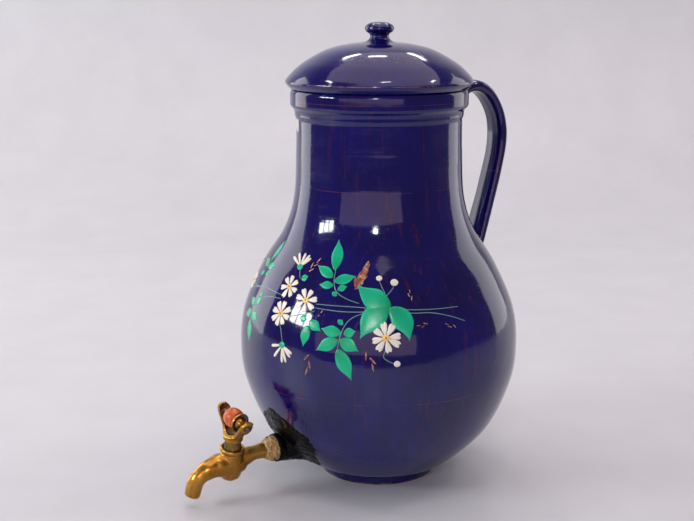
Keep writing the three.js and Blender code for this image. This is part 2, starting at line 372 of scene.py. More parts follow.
def inner_glaze():
    """The thin brown lead glaze of the inside, with tide marks."""
    s = Surface("inner_glaze")
    tide = s.noise(1, 3, 0.5, s.stretched((6, 6, 90)))
    colour = s.ramp(tide, (0.3, (0.10, 0.035, 0.018)), (0.7, (0.22, 0.085, 0.04)))
    return s.finish(Base_Color=colour, Roughness=0.28, Normal=s.bump(tide, 0.3, 0.6))


def aged_brass(name, verdigris=0.0, brown=0.35, crust_colour=(0.17, 0.21, 0.145)):
    """Handled cast brass: gold where it is rubbed, brown in the hollows, darker brown on the sides that
    face down as painted shade, and crusted in patches, more of them the higher the verdigris."""
    s = Surface(name)
    patches = s.noise(60, 5, 0.6)
    fine = s.noise(700, 4, 0.6)
    hollow = s.ramp(s.node("ShaderNodeNewGeometry").outputs["Pointiness"], (0.44, 1.0), (0.53, 0.0))
    colour = s.ramp(
        patches,
        (0.30, (0.42, 0.17, 0.025)), (0.50, (0.72, 0.35, 0.050)), (0.72, (0.92, 0.56, 0.13)),
    )
    colour = s.mix(s.math("MULTIPLY", hollow, brown + 0.3), colour, (0.09, 0.035, 0.012))
    stains = s.ramp(s.noise(150, 5, 0.7), (0.52, 0.0), (0.66, brown))
    colour = s.mix(stains, colour, (0.18, 0.070, 0.018))
    # Painted shade: faces whose normal points down are mixed towards dark brown.
    facing = s.node("ShaderNodeSeparateXYZ", Vector=s.node("ShaderNodeNewGeometry").outputs["Normal"])
    shade = s.ramp(facing.outputs["Z"], (0.0, 0.75), (0.35, 0.0))
    colour = s.mix(s.math("MULTIPLY", shade, patches), colour, (0.16, 0.055, 0.012))
    edge = 0.60 - 0.25 * verdigris
    heart = 0.74 - 0.2 * verdigris
    green = s.ramp(s.noise(95, 5, 0.65), (edge, 0.0), (heart, 1.0))
    crust = s.math("MULTIPLY", green, verdigris)
    colour = s.mix(crust, colour, crust_colour)
    rough = s.math("ADD", s.math("MULTIPLY", patches, 0.30), 0.14)
    rough = s.math("ADD", rough, s.math("MULTIPLY", crust, 0.4))
    metal = s.math("SUBTRACT", 1.0, s.math("MULTIPLY", crust, 0.85))
    normal = s.bump(fine, 0.18, 0.15, s.bump(patches, 0.25, 0.5))
    return s.finish(Base_Color=colour, Metallic=metal, Roughness=rough, Normal=normal)


def black_pitch():
    """Old pitch: black, lumpy, half shiny, with brown dust on it."""
    s = Surface("black_pitch")
    lumps = s.noise(210, 5, 0.6)
    dust = s.ramp(s.noise(330, 5, 0.7), (0.62, 0.0), (0.74, 0.5))
    colour = s.mix(dust, (0.0015, 0.0013, 0.0022), (0.040, 0.024, 0.015))
    rough = s.ramp(s.noise(120, 3), (0.38, 0.14), (0.64, 0.5))
    normal = s.bump(lumps, 0.4, 0.5)
    return s.finish(Base_Color=colour, Roughness=rough, Normal=normal, Specular_IOR_Level=0.11)


def hemp_twine():
    """Wound hemp soaked with paste: pale fibres round the pipe, browner between the turns."""
    s = Surface("hemp_twine")
    fibres = s.noise(1, 6, 0.75, s.stretched((260, 1500, 260)))
    blotches = s.noise(160, 4, 0.6)
    colour = s.ramp(
        fibres,
        (0.30, (0.16, 0.075, 0.02)), (0.48, (0.50, 0.31, 0.10)), (0.68, (0.80, 0.62, 0.33)),
    )
    colour = s.mix(s.ramp(blotches, (0.56, 0.0), (0.68, 0.7)), colour, (0.78, 0.68, 0.50))
    colour = s.mix(s.ramp(blotches, (0.36, 0.85), (0.46, 0.0)), colour, (0.075, 0.035, 0.015))
    normal = s.bump(fibres, 0.8, 0.7, s.bump(blotches, 0.6, 1.0))
    return s.finish(Base_Color=colour, Roughness=0.72, Normal=normal)


def coral_paint(name, dirt_and_shade):
    """Old coral paint on turned wood, dirty where it is handled. A higher second argument darkens more
    of it: on the bead's groove end this is painted shade between the bead and its washer.
    """
    s = Surface(name)
    tone = s.noise(130, 4, 0.6)
    colour = s.ramp(
        tone,
        (0.32, (0.42, 0.060, 0.010)), (0.52, (0.78, 0.150, 0.018)), (0.74, (0.90, 0.27, 0.05)),
    )
    grime_and_shade = s.ramp(s.noise(90, 5, 0.7), (0.56 - 0.4 * dirt_and_shade, 0.0), (0.66 - 0.3 * dirt_and_shade, 0.8))
    colour = s.mix(grime_and_shade, colour, (0.12, 0.035, 0.02))
    return s.finish(Base_Color=colour, Roughness=0.36, Normal=s.bump(tone, 0.35, 0.4))


def dull_steel():
    """Steel gone grey, with specks of rust."""
    s = Surface("dull_steel")
    rust = s.ramp(s.noise(380, 5, 0.7), (0.48, 0.0), (0.62, 0.8))
    colour = s.mix(rust, (0.20, 0.19, 0.18), (0.13, 0.05, 0.025))
    rough = s.math("ADD", s.math("MULTIPLY", rust, 0.4), 0.3)
    return s.finish(Base_Color=colour, Metallic=0.85, Roughness=rough, Normal=s.bump(rust, 0.3, 0.1))


def enamel(name, middle, edge, base):
    """Raised enamel laid on with a brush: one colour along the stroke's middle, one at its edge, and
    one at its root. The edge colour paints light on some strokes: a paler highlight along the leaves'
    rims, and grey shade along the petals' edges."""
    s = Surface(name)
    across = s.node("ShaderNodeAttribute", {"attribute_name": "across"}).outputs["Fac"]
    along = s.node("ShaderNodeAttribute", {"attribute_name": "along"}).outputs["Fac"]
    brush = s.noise(420, 4, 0.6)
    side = s.math("ADD", across, s.math("MULTIPLY", s.math("SUBTRACT", brush, 0.5), 0.5))
    # Towards each stroke's sides the edge colour comes in: on leaves a painted highlight, on petals
    # painted shade.
    colour = s.mix(s.ramp(side, (0.45, 0.0), (0.95, 1.0)), middle, edge)
    root = s.math("ADD", along, s.math("MULTIPLY", s.math("SUBTRACT", brush, 0.5), 0.3))
    colour = s.mix(s.ramp(root, (0.08, 0.9), (0.42, 0.0)), colour, base)
    return s.finish(Base_Color=colour, Roughness=0.22, Normal=s.bump(brush, 0.35, 0.25))


def copper_gilt():
    """Thin gilding, rubbed away in places to its brown ground."""
    s = Surface("copper_gilt")
    rubbed = s.ramp(s.noise(500, 4, 0.7), (0.42, 0.0), (0.62, 1.0))
    ear = s.ramp(s.noise(140, 3), (0.42, (0.42, 0.14, 0.055)), (0.60, (0.82, 0.54, 0.30)))
    colour = s.mix(rubbed, ear, (0.14, 0.035, 0.03))
    metal = s.math("SUBTRACT", 0.8, s.math("MULTIPLY", rubbed, 0.6))
    return s.finish(Base_Color=colour, Metallic=metal, Roughness=0.38, Normal=s.bump(rubbed, 0.3, 0.1))


def old_paper():
    """Blank yellowed paper with a fibrous face."""
    s = Surface("old_paper")
    fibre = s.noise(900, 4, 0.6)
    colour = s.ramp(fibre, (0.3, (0.66, 0.62, 0.52)), (0.7, (0.86, 0.84, 0.78)))
    return s.finish(Base_Color=colour, Roughness=0.9, Normal=s.bump(fibre, 0.4, 0.1))


# ---- the pot ---------------------------------------------------------------------------------
BELLY = [
    (66, FOOT_H), (90, 22), (127, 60), (149, 110), (154.2, 150), (149, 192),
    (127.8, 240), (104, 278), (93, 315), (90.4, 365), (90, 398),
]
WALL = 7
belly = through(BELLY, 12)


def wall_at(height):
    """(radius, slope) of the pot's outside at a height: slope is the radius gained per mm of rise."""
    for low, high in zip(belly, belly[1:]):
        if low.y <= height <= high.y:
            slope = (high.x - low.x) / (high.y - low.y)
            return low.x + slope * (height - low.y), slope
    return belly[-1].x, 0.0


def pot():
    """Foot, belly, neck and banded rim outside, and the inside down to the floor."""
    foot = softened([(0, 0), (FOOT_R, 0), (FOOT_R + 1.1, FOOT_H - 2.5), (66, FOOT_H)], 1.6)
    rim = softened(
        [
            (90, 398), (91.5, 401), (91.6, 404.5), (92.4, 408), (95.6, 411.3), (96.4, 413.5),
            (96.4, 426), (94.6, RIM_Z), (MOUTH_R, RIM_Z), (MOUTH_R, 412), (83, 398),
        ],
        2.2,
    )
    inside = []
    for low, high in zip(belly, belly[1:]):
        run = (high - low).normalized()
        inside.append(Vector((low.x - WALL * run.y, low.y + WALL * run.x)))
    inside = [p for p in inside if p.y > FOOT_H + 6]
    floor = softened([inside[0], (inside[0].x - 7, FOOT_H), (0, FOOT_H)], 6)
    outline = foot[:-1] + belly[:-1] + rim[:-1] + inside[::-1][:-1] + floor
    obj = build("pot", turned(outline, 192))
    glaze = cobalt_glaze(
        "cobalt_glaze",
        gilt_lines=(122, 329, 418.5),
        worn_edges=((1, 1.6),),
    )
    finished(obj, "jug", "cobalt_glaze", glaze, inner_glaze(), raw_clay(), instead=("jug_body",))
    for face in obj.data.polygons:
        middle = face.center / MM
        outer, _ = wall_at(middle.z)
        inwards = math.hypot(middle.x, middle.y) < outer - WALL / 2
        if middle.z < 0.6:
            face.material_index = 2
        elif inwards and FOOT_H - 0.1 < middle.z < RIM_Z - 3:
            face.material_index = 1
    return glaze


def handle(glaze):
    """A pulled strap, widest where it is luted to the rim and to the shoulder."""
    line = through(
        [
            (0, 89, 415), (0, 104, 421), (0, 121, 427.5), (0, 137, 425), (0, 152, 412), (0, 163.5, 390),
            (0, 166, 364), (0, 160, 332), (0, 148.5, 292), (0, 137, 256), (0, 126, 228),
        ],
        10,
    )

    def strap(share):
        spread = 1 + 0.32 * math.exp(-share / 0.07) + 0.38 * math.exp(-(1 - share) / 0.08)
        thin = 1 - 0.06 * share - 0.18 * math.exp(-(1 - share) / 0.07)
        points = []
        for k in range(40):
            turn = 2 * math.pi * k / 40
            u = math.copysign(abs(math.cos(turn)) ** 0.78, math.cos(turn))
            v = math.copysign(abs(math.sin(turn)) ** 0.88, math.sin(turn))
            ribs = 0.35 * math.cos(3 * math.pi * u) if v > 0 else 0
            points.append((u * STRAP_HALF_W * spread, v * (STRAP_HALF_T + ribs) * thin))
        return points

    obj = lumpy(build("strap", swept(line, strap)), 0.5, 30)
    finished(obj, "jug", "cobalt_glaze", glaze, instead=("strap_handle",))


# ---- the lid ---------------------------------------------------------------------------------
LID_SEAT = RIM_Z + 0.3


def lid():
    """The domed lid, hollow underneath, with its lip and its flange, and the knob."""
    dome = through([(101.4, 438.6), (95.5, 446), (82, 457.5), (57, 471), (30, 477.4), (0, 479)], 10)
    under = through([(0, 472), (50, 465), (77.5, 446)], 10)
    edge = softened(
        [
            (77.5, 446), (77.5, FLANGE_FOOT), (83.2, FLANGE_FOOT), (83.4, LID_SEAT), (96.5, LID_SEAT),
            (100, 434), (101.6, 436.6), (101.4, 438.6),
        ],
        0.9,
    )
    obj = build("domed_lid", turned(under[:-1] + edge[:-1] + dome, 192))
    glaze = cobalt_glaze("lid_glaze", worn_edges=((437.8, 0.7),), brightness=0.05)
    finished(obj, "lid", "cobalt_glaze", glaze, inner_glaze(), instead=("lid",))
    for face in obj.data.polygons:
        if face.normal.z < 0 and math.hypot(face.center.x, face.center.y) < 0.083:
            face.material_index = 1

    foot = [(0, 479), (21, 477.6)]
    waist = through(
        [
            (19.5, 478.4), (15, 479.4), (11.6, 481.6), (10.1, 484.6), (11, 487.4), (14.2, 489.6),
            (15.8, 492.6), (14.6, 496), (10.5, 498.7), (5, 499.8), (0, TOP_Z),
        ],
        6,
    )
    knob = build("mushroom_knob", turned(foot + waist, 96))
    finished(knob, "lid", "cobalt_glaze", glaze, instead=("lid_knob",))


# ---- the seal round the tap ------------------------------------------------------------------
SMEAR = [  # the smear's edge as (across, up) from the pipe's axis
    (53, 20), (45, 31), (32, 41), (18, 50), (-2, 48), (-22, 36), (-34, 10), (-27, -15), (-5, -27),
    (21, -25), (44, -2),
]
COLLAR_ROOT = 16  # the radius where the smear meets the collar
COLLAR_FACE = 125  # how far from the pot's axis the foot of the collar lies


def pitch_seal(material):
    """Black pitch drawn up round the tap's tail and smeared over the belly about it."""
    edge = through(SMEAR, 10, closed=True)
    collar = [(13.2, 137.4), (15.2, 137.2), (15.8, 134), (15.4, 128)]
    rings = []
    for r, reach in collar:
        rings.append([(r * p.x, -reach, TAP_Z + r * p.y) for p in (q.normalized() for q in edge)])
    steps = 14
    for i in range(steps + 1):
        share = i / steps
        ring = []
        for k, rim in enumerate(edge):
            start = rim.normalized() * COLLAR_ROOT
            ragged = 1 + 0.05 * noise.noise(Vector((k * 0.12, 3, 0)))
            spot = start.lerp(rim * ragged, share)
            radius, _ = wall_at(TAP_Z + spot.y)
            wall = math.sqrt(max(radius ** 2 - spot.x ** 2, 0))
            fillet = max(COLLAR_FACE - wall, 0) * math.exp(-share * 7)
            lift = 1.9 * (1 - share ** 4) + fillet - 0.6 * share ** 4
            ring.append((spot.x, -wall - lift, TAP_Z + spot.y))
        rings.append(ring)
    r, reach = 14, 108  # the last ring lies inside the wall
    rings.append([(r * p.x, -reach, TAP_Z + r * p.y) for p in (q.normalized() for q in edge)])
    obj = cast(build("pitch_smear", loops(rings, closed=True)), 0.9, 2)
    for amount, size in ((0.8, 14), (0.6, 5), (0.3, 2)):
        lumpy(obj, amount, size, 5)
    finished(obj, "jug", "black_pitch", material, instead=("pitch_seal",))


def hemp_packing(material):
    """Twine wound on the tail, each turn a ridge, tapering to the bare pipe."""
    outline = [(PIPE_R + 0.3, 112), (11.1, 112), (11.1, 133)]
    start, length, twine = 133.8, 16, 2.1
    for k in range(41):
        along = start + length * k / 40
        taper = 1 - max(along - 142, 0) / 7.8
        ridge = 0.55 * abs(math.sin(math.pi * along / twine))
        outline.append((PIPE_R + 0.5 + (4.1 + ridge) * max(taper, 0) ** 0.6, along))
    outline += [(PIPE_R + 0.3, 150.2), (PIPE_R + 0.3, 112)]
    obj = build("wound_hemp", turned(outline, 96), PIPE)
    lumpy(obj, 1.3, 3.6, 2)
    lumpy(obj, 0.3, 1.3, 4)
    finished(obj, "jug", "hemp_twine", material, instead=("hemp_packing",))


# ---- the tap ---------------------------------------------------------------------------------
BARREL_TOP = 13.5
PLUG_SHOULDER = BARREL_TOP + 10


def round_bar(radius):
    """A section for swept(): a circle whose radius is read from (share, radius) pairs."""
    sides = 40

    def section(share):
        for (s0, r0), (s1, r1) in zip(radius, radius[1:]):
            if share <= s1:
                t = (share - s0) / (s1 - s0)
                r = r0 + (r1 - r0) * t * t * (3 - 2 * t)
                break
        turns = (2 * math.pi * k / sides for k in range(sides))
        return [(r * math.cos(a), r * math.sin(a)) for a in turns]
    return section


def tap_body(brass):
    """The cast barrel with its swan-necked spout and its tail, melted into one, and a turned lip."""
    barrel = softened(
        [
            (0, -25), (7.6, -24.9), (11, -21.5), (12.8, -15), (13.1, -6), (12.2, 4), (11.6, 10), (0, 10),
        ],
        2,
    )
    neck = through(
        [
            (0, -3, -6.5), (0, -13, -6.5), (0, -24, -8), (0, -34, -13.5), (0, -40.3, -21.5),
            (0, -43, -36.3),
        ],
        8,
    )
    spout = swept(neck, round_bar([(0, 12.9), (0.2, 12.8), (0.42, 10.6), (0.66, 8.8), (1, 8.6)]))
    web = through([(0, 0, -9), (0, 8, -7), (0, 15, -3.4), (0, 27, -0.6)], 6)
    root = swept(web, round_bar([(0, 13.2), (0.35, 12.2), (0.7, 9.2), (1, 7.2)]))
    tail_line = [Vector((0, y, 0)) for y in range(0, 89, 4)]
    full = PIPE_R + 0.2
    tail = swept(tail_line, round_bar([(0, 9.5), (0.14, 8.0), (0.28, 7.7), (0.45, full), (1, full)]))
    obj = build("tap_casting", joined(turned(barrel, 64), spout, tail, root), TAP)
    cast(obj, 0.8, 16)
    lumpy(obj, 0.5, 8)
    bore_line = through([(0, -38.9, -19), (0, -41.4, -26), (0, -42.8, -38)], 6)
    drill = build("drill", swept(bore_line, round_bar([(0, OUTLET_R), (1, OUTLET_R)])), TAP)
    cut = obj.modifiers.new("bore", "BOOLEAN")
    cut.object = drill
    settle(obj)
    bpy.data.objects.remove(drill)
    lip = softened(
        [
            (9.9, 7), (11.6, 8), (12.9, 10.6), (12.9, 12.9), (12.2, 13.6), (10.8, 13.6), (9.9, 12.2),
            (9.9, 7),
        ],
        0.5,
    )
    ring = build("barrel_lip", turned(lip, 96), TAP)
    work = bmesh.new()
    work.from_mesh(obj.data)
    work.from_mesh(ring.data)
    work.to_mesh(obj.data)
    work.free()
    bpy.data.objects.remove(ring)
    obj.data.shade_smooth()
    finished(obj, "jug", "aged_brass", brass, instead=("tap_body",))


def tap_plug(brass):
    """The tapered plug, its bare neck and the square that carries the key."""
    stem = softened(
        [
            (0, -17.5), (7.2, -17.5), (9.2, BARREL_TOP), (9, 15), (8.6, 19), (8.9, PLUG_SHOULDER),
            (0, PLUG_SHOULDER),
        ],
        0.5,
    )
    tang = turned(softened([(0, PLUG_SHOULDER), (4.6, PLUG_SHOULDER), (4.6, 28.4), (0, 28.9)], 0.6), 4)
    obj = build("plug_cone", joined(turned(stem, 64), tang), KEY)
    finished(obj, "key", "aged_brass", brass, instead=("tap_plug",))


def key_yoke(brass, patina):
    """A lyre-shaped key: a flared form cut down to two wings, grey with patina on their inner sides."""
    foot = PLUG_SHOULDER + 0.3
    outside = through([(10.6, foot), (10.7, 28), (14.6, 35.5), (20.9, 45.5), (26, 54.5)], 8)
    fork = through([(22.8, 55), (17.8, 46), (11.6, 36.5), (6, 30), (0, 28.2)], 8)
    obj = build("yoke", turned([(0, foot)] + outside + fork, 96), KEY)
    half = through([(12, 10), (11, 27), (6.4, 33), (6.6, 41), (7.3, 47), (6.2, 53), (0, 56.5)], 6)
    outline = [(p.x, p.y) for p in half] + [(-p.x, p.y) for p in reversed(half[:-1])]
    wings = build("wings", loops([[(x, y, z) for y, z in outline] for x in (-40, 40)]), KEY)
    cut = obj.modifiers.new("wings", "BOOLEAN")
    cut.operation = "INTERSECT"
    cut.object = wings
    settle(obj)
    bpy.data.objects.remove(wings)
    cast(obj, 0.4, 3)
    finished(obj, "key", "aged_brass", brass, patina, instead=("key_yoke",))
    to_key = KEY.inverted()
    for face in obj.data.polygons:
        middle = to_key @ (face.center / MM)
        normal = to_key.to_3x3() @ face.normal
        outwards = normal.x * middle.x + normal.y * middle.y
        if outwards < 0 and abs(normal.x) > 0.3 and middle.z < 50:
            face.material_index = 1


def crossbar(brass, steel, coral):
    """The riveted spindle with the turned bead, its washer and the waisted ferrule on it."""
    half = [(BAR_R, 0), (BAR_R, 22.8), (3.2, 23), (3.2, 24), (2, 25.2), (0, 25.6)]
    outline = [(r, -x) for r, x in reversed(half[1:])] + half[1:]
    bar = build("riveted_bar", turned(softened(outline, 0.5), 48), BAR)
    finished(bar, "key", "steel", steel, instead=("cross_spindle",))

    crown = through([(4.4, -12), (8.2, -10), (10.3, -4.5), (10.3, 1), (9.2, 4.4)], 8)
    groove = [(8.0, 5), (8.0, 6), (9.4, 6.4), (9.4, 7.6), (8.8, 8), (EYE_R, 8)]
    bead = build("turned_bead", turned([(EYE_R, -12)] + crown + groove + [(EYE_R, -12)], 96), BAR)
    # The bead's groove end, past flange_start, takes a darker copy of the paint: painted shade between the
    # bead and the washer.
    finished(bead, "key", "coral_paint", coral, coral_paint("coral_grime_and_shade", 0.5), instead=("grip_bead",))
    along_bar = BAR.inverted()
    flange_start = 4.2
    for face in bead.data.polygons:
        if (along_bar @ (face.center / MM)).z > flange_start:
            face.material_index = 1

    disc = softened(
        [(EYE_R, 8.4), (10, 8.4), (10.6, 9), (10.4, 10), (9.8, 9.9), (9.4, 9.1), (EYE_R, 9.1)],
        0.3,
    )
    washer = build("thin_washer", turned(disc + disc[:1], 96), BAR)
    finished(washer, "key", "aged_brass", brass, steel, instead=("bead_washer",))
    # Painted shade: the washer's face inside its brass rim is given dull steel, standing for the shade in
    # the recess round the ferrule's foot.
    middle = (BAR @ Vector((0, 0, 9.15))) * MM
    dark_face_r = 9.3
    for face in washer.data.polygons:
        if (face.center - middle).length < dark_face_r * MM:
            face.material_index = 1

    waist = through([(6.6, 9.9), (5.4, 11), (4.7, 13.5), (5.3, 17.5), (7.6, 21.5)], 8)
    outline = [(EYE_R, 9.9)] + waist + [(EYE_R, 21.5), (EYE_R, 9.9)]
    spool = build("waisted_ferrule", turned(outline, 64), BAR)
    finished(spool, "key", "aged_brass", brass, instead=("spool_ferrule",))


# ---- the painted flowers ---------------------------------------------------------------------
# Each is laid on the pot in relief, as strokes of enamel or gilding.

def on_pot(angle, height, lift):
    """The point so many mm off the pot's wall at a place."""
    radius, slope = wall_at(height)
    lean = 1 / math.hypot(1, slope)
    turn = math.radians(angle)
    out = radius + lift * lean
    return Vector((out * math.sin(turn), -out * math.cos(turn), height - lift * slope * lean))


def beside(angle, height, across, up):
    """The place that lies so many mm across and up the wall from (angle, height)."""
    _, slope = wall_at(height)
    there = height + up / math.hypot(1, slope)
    radius, _ = wall_at(there)
    return angle + math.degrees(across / radius), there


SUNK = 0.12  # how far a stroke's edge lies under the glaze


def stroke(places, widths, relief):
    """A domed ribbon through (angle, height) places, with a width in mm at each.

    It comes with two lists of a value at each vertex: how far it lies across and along the ribbon."""
    span = 4  # vertices from the middle of the ribbon to its edge
    rings, across, along = [], [], []
    for i, (angle, height) in enumerate(places):
        before = places[max(i - 1, 0)]
        after = places[min(i + 1, len(places) - 1)]
        radius, slope = wall_at(height)
        gone_round = math.radians(after[0] - before[0]) * radius
        gone_up = (after[1] - before[1]) * math.hypot(1, slope)
        side = Vector((gone_up, -gone_round)).normalized()
        half = widths[i] / 2
        ring = []
        for k in range(-span, span + 1):
            share = k / span
            lift = relief * math.sqrt(max(1 - share * share, 0)) * min(1, half / 0.8) - SUNK
            place = beside(angle, height, side.x * half * share, side.y * half * share)
            ring.append(on_pot(*place, lift))
            across.append(abs(share))
            along.append(i / (len(places) - 1))
        rings.append(ring)
    return loops(rings), across, along


def strokes(name, made, material):
    """One piece of many strokes, with the values of enamel() at its vertices."""
    obj = build(name, joined(*(m[0] for m in made)))
    for label, column in (("across", 1), ("along", 2)):
        values = [v for m in made for v in m[column]]
        # Petals and lobes that start at one point are merged there, which leaves the piece of petals
        # without these values: it is nearly all of its root's colour.
        if len(values) == len(obj.data.vertices):
            obj.data.attributes.new(label, "FLOAT", "POINT").data.foreach_set("value", values)
    finished(obj, "jug", "cobalt_glaze", material)


def blade(angle, height, heading, length, width, relief, full, bow=0.0, sharp=False, steps=14):
    """A petal or leaf that starts at a place and runs along a heading.

    full is the share of its length where it is widest. A sharp one ends in a drawn-out tip."""
    turn = math.radians(heading)
    ahead = Vector((math.cos(turn), math.sin(turn)))
    side = Vector((-ahead.y, ahead.x))
    places, widths = [], []
    for i in range(steps + 1):
        t = i / steps
        spot = ahead * length * t + side * bow * math.sin(math.pi * t)
        places.append(beside(angle, height, spot.x, spot.y))
        if t < full:
            share = math.sin(math.pi / 2 * t / full) ** 0.7
        elif sharp:
            share = (0.5 + 0.5 * math.cos(math.pi * (t - full) / (1 - full))) ** 0.8
        else:
            share = math.cos(math.pi / 2 * (t - full) / (1 - full)) ** 0.6
        widths.append(max(width * share, 0.12))
    return stroke(places, widths, relief)


def leaf(root, tip, width, bow=0.0, full=0.45):
    """A leaf from one (angle, height) place to another."""
    radius, slope = wall_at((root[1] + tip[1]) / 2)
    across = math.radians(tip[0] - root[0]) * radius
    up = (tip[1] - root[1]) * math.hypot(1, slope)
    heading = math.degrees(math.atan2(up, across))
    return blade(*root, heading, math.hypot(across, up), width, 0.55, full, bow, sharp=True)


def dot(angle, height, radius, relief):
    """A round touch of enamel."""
    places = [beside(angle, height, radius * -math.cos(math.pi * i / 10), 0) for i in range(11)]
    widths = [max(2 * radius * math.sin(math.pi * i / 10), 0.1) for i in range(11)]
    return stroke(places, widths, relief)


def fine_line(places):
    """A stem 1.1 mm wide at its middle, thinner at its ends."""
    spots = [(p.x, p.y) for p in through([(a, h, 0) for a, h in places], 8)]
    last = len(spots) - 1
    widths = [1.1 * (0.75 + 0.25 * math.sin(math.pi * i / last)) for i in range(last + 1)]
    return stroke(spots, widths, 0.45)


DAISIES = [  # angle, height, petal length, petals, first heading
    (11, 232, 13.6, 7, 40), (22.5, 222.5, 14.4, 7, 15), (11, 205.5, 14.6, 8, 35),
    (58.5, 192.5, 16.2, 8, 12), (-28.5, 220.5, 11, 7, 0), (-50, 193, 14, 8, 30),
]
SIDE_DAISIES = [  # angle, height, petal length, headings of its petals
    (13, 252, 19, (50, 66, 92, 124, 150)), (15, 175, 19, (192, 232, 272, 290, 318, 334)),
]
BUDS = [(55.8, 248, 3.2), (62.8, 244, 4.0), (62.6, 166.7, 3.4), (-44, 244, 3.2), (-55, 166, 3.0)]
BIG_LEAVES = [  # root, tip, width, bow
    ((61, 222), (46, 242), 25, 3), ((60, 222), (48, 190), 27, -4), ((60, 221), (68, 187.5), 24, 5),
]
SPRIG_LEAVES = [  # root, tip, width
    ((33.6, 253), (32, 283), 14), ((33.6, 246.5), (23.5, 256), 12), ((34.3, 243.5), (45, 249.5), 12),
    ((34.6, 239.6), (27, 238.8), 9), ((36.8, 235.5), (41.4, 239.5), 7.5), ((35.3, 229.5), (36.8, 234), 7),
    ((39.4, 204), (41, 208.5), 8), ((41, 195.3), (32, 198.5), 13), ((41.9, 194.5), (46.8, 198.4), 11),
    ((40, 189), (30.7, 176), 14.5), ((40.3, 189.5), (48.2, 178.8), 15), ((39.6, 180.5), (45.6, 148), 17),
    ((16.8, 240.5), (20.3, 245), 8), ((21.8, 205.6), (25.4, 204.4), 8.5),
    ((26.4, 204.5), (32.4, 195.5), 12),
    ((26.2, 200), (25.2, 177), 12), ((-14.5, 248), (-12.2, 271), 10), ((-15, 242), (-22.5, 248), 10),
    ((-14, 242), (-6.5, 246), 10), ((-15.5, 236), (-20.5, 232.5), 7), ((-13, 235), (-9, 238), 6.5),
    ((-10, 206), (-5.5, 212), 9.5), ((-11, 204), (-17.5, 208), 9.5), ((-10.5, 195), (-4, 189.5), 11),
    ((-11.5, 195), (-18.5, 188), 11.5), ((-11, 188), (-8.5, 163), 13.5), ((-9, 214), (-6.5, 218), 6.5),
]
STEMS = [  # the places each stem runs through
    [(28, 220.6), (45, 221), (60, 219.5), (76, 217.5), (91, 216.5)],
    [(28, 217), (40, 216), (52, 217), (60, 218)],
    [(62, 217), (70, 215), (78, 214), (86, 209), (93, 202)],
    [(34, 255), (34.5, 243), (36.5, 234), (41, 228.5), (47.2, 224.4)],
    [(50, 216), (45, 211), (42, 203), (40.3, 190), (39.8, 178)],
    [(28, 214), (24, 210), (18, 206), (12, 199), (13.5, 188), (15, 178)],
    [(55.9, 245.5), (57, 240), (58.5, 234)], [(62.4, 240), (60.5, 235), (59, 232)],
    [(58.5, 182), (57.5, 174), (59.5, 169.5), (61.6, 167)],
    [(16, 241), (14.5, 246), (13.2, 252)], [(8, 222.5), (-4, 224), (-12, 222), (-22, 219)],
    [(8, 219), (-1, 217), (-6, 212), (-10.5, 203), (-11.2, 188)], [(-14.3, 250), (-14.5, 236), (-12, 226)],
    [(-12, 222), (-26, 215), (-42, 215), (-60, 217), (-78, 214)],
    [(-30, 216), (-50, 219), (-66, 211), (-80, 200)],
]
GILT_SPRIGS = [  # root, heading, length, width of a touch, touches
    ((19, 249), 58, 19, 1.5, 4), ((44.5, 237), 66, 31, 3.4, 12), ((28.5, 172), 262, 24, 2.2, 3),
    ((51, 180), 294, 24, 2.2, 3), ((70, 226), 100, 14, 1.3, 3), ((88, 196), 150, 16, 1.3, 3),
    ((29, 209), 32, 13, 0.9, 2), ((76, 204), 190, 15, 1.3, 3), ((-32, 240), 110, 22, 2.0, 5),
    ((-38, 172), 255, 22, 2.0, 4), ((-70, 226), 80, 16, 1.3, 3),
]
HEART_GAP = 2.2  # how far out from a daisy's centre its petals start
MIRROR = 5  # the big leaves stand again on the far side, turned over about this angle


